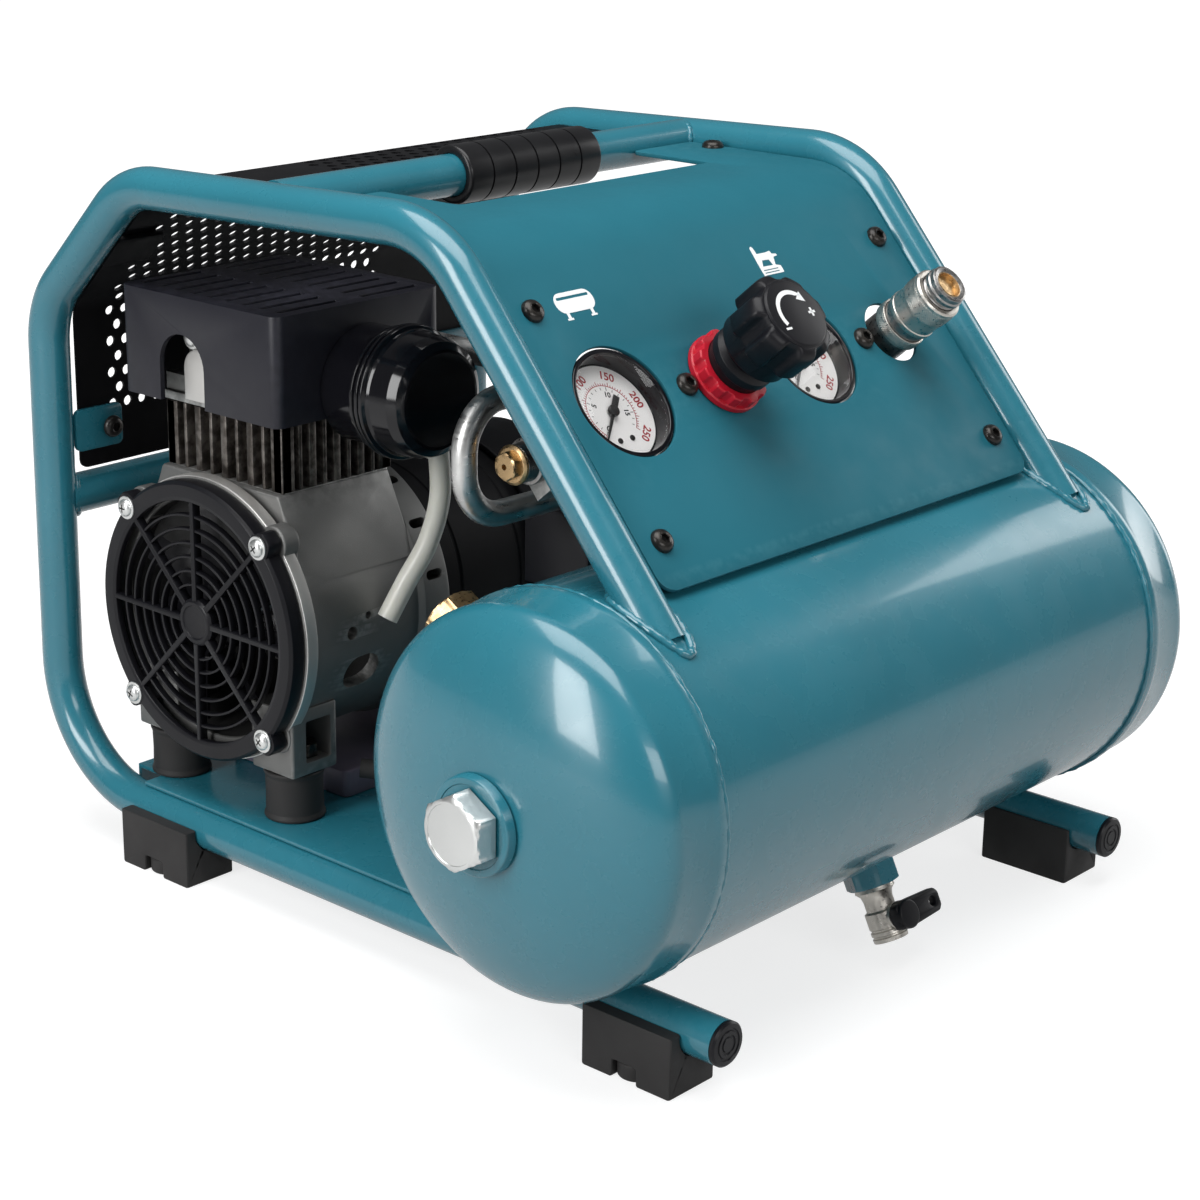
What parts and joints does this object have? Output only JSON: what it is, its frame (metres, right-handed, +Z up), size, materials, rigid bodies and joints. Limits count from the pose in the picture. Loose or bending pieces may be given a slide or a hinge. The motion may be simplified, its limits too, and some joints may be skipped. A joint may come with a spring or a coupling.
{
  "type": "portable air compressor",
  "caption": "Portable oil-free air compressor: horizontal tank, sloping gauge panel and piston pump in a round-tube carrying frame with a top handle.",
  "frame": {"origin": "on the floor plane under the rubber feet, at the centre of the object's footprint", "axes": "+Z up; X along the tank axis, with the pump's fan guard at the -X end; -Y is the front, where the tank and the control panel are"},
  "size_m": [0.435, 0.4324, 0.3333],
  "materials": {
    "frame_paint": "glossy powder coat, teal",
    "tank_paint": "glossy enamel, teal",
    "panel_paint": "satin powder coat, teal",
    "grip_rubber": "matt, fine grain",
    "foot_rubber": "matt",
    "tube_plug_plastic": "moulded, matt",
    "zinc_steel": "zinc plated, satin",
    "brass_fitting": "machined, satin",
    "nickel_fitting": "nickel plated, semi-gloss",
    "black_plastic": "moulded, satin",
    "red_plastic": "moulded, glossy",
    "gauge_case": "white dial in a black case",
    "manifold_aluminium": "die cast, matt",
    "cover_steel": "black powder coat, fine texture",
    "motor_paint": "black enamel, semi-gloss",
    "cast_aluminium": "bead blasted casting",
    "bare_steel": "ground",
    "winding_copper": "enamelled copper windings",
    "cylinder_iron": "dark cast surface",
    "head_cover_plastic": "moulded, satin",
    "guard_plastic": "moulded, satin",
    "filter_plastic": "moulded, glossy",
    "hose_plastic": "translucent white, satin",
    "pipe_aluminium": "drawn tube, satin",
    "cable_rubber": "matt"
  },
  "bodies": {
    "root": {"air_filter_body": "filter_plastic", "air_filter_cap": "filter_plastic", "base_plate": "frame_paint", "check_valve": "brass_fitting", "control_panel": "panel_paint", "coupler_body": "nickel_fitting", "crankcase": "cast_aluminium", "cylinder": "cylinder_iron", "cylinder_head": "cast_aluminium", "discharge_pipe": "pipe_aluminium", "drain_valve_body": "nickel_fitting", "fan_guard": "guard_plastic", "foot_front_left": "foot_rubber", "foot_front_right": "foot_rubber", "foot_rear_left": "foot_rubber", "foot_rear_right": "foot_rubber", "handle_bar": "frame_paint", "handle_grip": "grip_rubber", "head_cover": "head_cover_plastic", "intake_hose": "hose_plastic", "manifold": "manifold_aluminium", "motor_cable": "cable_rubber", "motor_end_bell": "cast_aluminium", "motor_housing": "motor_paint", "motor_stator": "winding_copper", "outlet_gauge_case": "gauge_case", "pressure_switch": "black_plastic", "pump_mount_front_left": "foot_rubber", "pump_mount_front_right": "foot_rubber", "pump_mount_rear_left": "foot_rubber", "pump_mount_rear_right": "foot_rubber", "rear_cover": "cover_steel", "rear_cross_tube": "frame_paint", "regulator_body": "black_plastic", "regulator_ring": "red_plastic", "safety_valve": "brass_fitting", "side_frame_left": "frame_paint", "side_frame_right": "frame_paint", "tank_gauge_case": "gauge_case", "tank_head_left": "tank_paint", "tank_head_right": "tank_paint", "tank_plug_left": "zinc_steel", "tank_plug_right": "zinc_steel", "tank_port_plug": "brass_fitting", "tank_shell": "tank_paint", "tube_plug_left": "tube_plug_plastic", "tube_plug_right": "tube_plug_plastic"},
    "crank": {"crankshaft": "bare_steel", "motor_rotor": "bare_steel", "fan": "black_plastic"},
    "rod": {"connecting_rod": "cast_aluminium"},
    "piston": {"piston": "cast_aluminium"},
    "regulator_spindle": {"regulator_spindle": "bare_steel"},
    "regulator_knob": {"regulator_knob": "black_plastic"},
    "tank_gauge_needle": {"tank_gauge_pointer": "black_plastic"},
    "outlet_gauge_needle": {"outlet_gauge_pointer": "black_plastic"},
    "coupler_sleeve": {"coupler_sleeve": "nickel_fitting"},
    "drain_lever": {"drain_valve_lever": "black_plastic"},
    "safety_valve_pull": {"safety_valve_pull": "brass_fitting"},
    "switch_lever": {"switch_lever": "red_plastic"}
  },
  "joints": [
    {"name": "crank_spin", "type": "hinge", "parent": "root", "child": "crank", "pos_m": [-0.088, 0.105, 0.1245], "axis": [1, 0, 0], "continuous": true},
    {"name": "rod_pivot", "type": "hinge", "parent": "crank", "child": "rod", "pos_m": [-0.088, 0.105, 0.1165], "axis": [1, 0, 0], "continuous": true},
    {"name": "piston_slide", "type": "slide", "parent": "root", "child": "piston", "axis": [0, 0, 1], "range_m": [0, 0.016]},
    {"name": "regulator_turn", "type": "hinge", "parent": "root", "child": "regulator_spindle", "pos_m": [-0.031, -0.10752, 0.2562], "axis": [0, -0.7578, 0.6525], "range_deg": [0, 990]},
    {"name": "knob_lock", "type": "slide", "parent": "regulator_spindle", "child": "regulator_knob", "axis": [0, 0.7578, -0.6525], "range_m": [0, 0.003]},
    {"name": "tank_gauge_needle_turn", "type": "hinge", "parent": "root", "child": "tank_gauge_needle", "pos_m": [-0.092, -0.10752, 0.2562], "axis": [0, 0.7578, -0.6525], "range_deg": [0, 270]},
    {"name": "outlet_gauge_needle_turn", "type": "hinge", "parent": "root", "child": "outlet_gauge_needle", "pos_m": [0.03, -0.10752, 0.2562], "axis": [0, 0.7578, -0.6525], "range_deg": [0, 270]},
    {"name": "coupler_sleeve_slide", "type": "slide", "parent": "root", "child": "coupler_sleeve", "axis": [0, 0.7578, -0.6525], "range_m": [0, 0.004]},
    {"name": "drain_lever_turn", "type": "hinge", "parent": "root", "child": "drain_lever", "pos_m": [0.002, -0.1799, 0.0216], "axis": [0, 0.895, -0.446], "range_deg": [0, 90]},
    {"name": "safety_valve_pull_slide", "type": "slide", "parent": "root", "child": "safety_valve_pull", "axis": [-1, 0, 0], "range_m": [0, 0.003]},
    {"name": "switch_lever_turn", "type": "hinge", "parent": "root", "child": "switch_lever", "pos_m": [0.012, -0.041, 0.172], "axis": [1, 0, 0], "range_deg": [0, 40]}
  ],
  "couplings": [
    {"joint": "rod_pivot", "follows": "crank_spin", "ratio": -1}
  ]
}
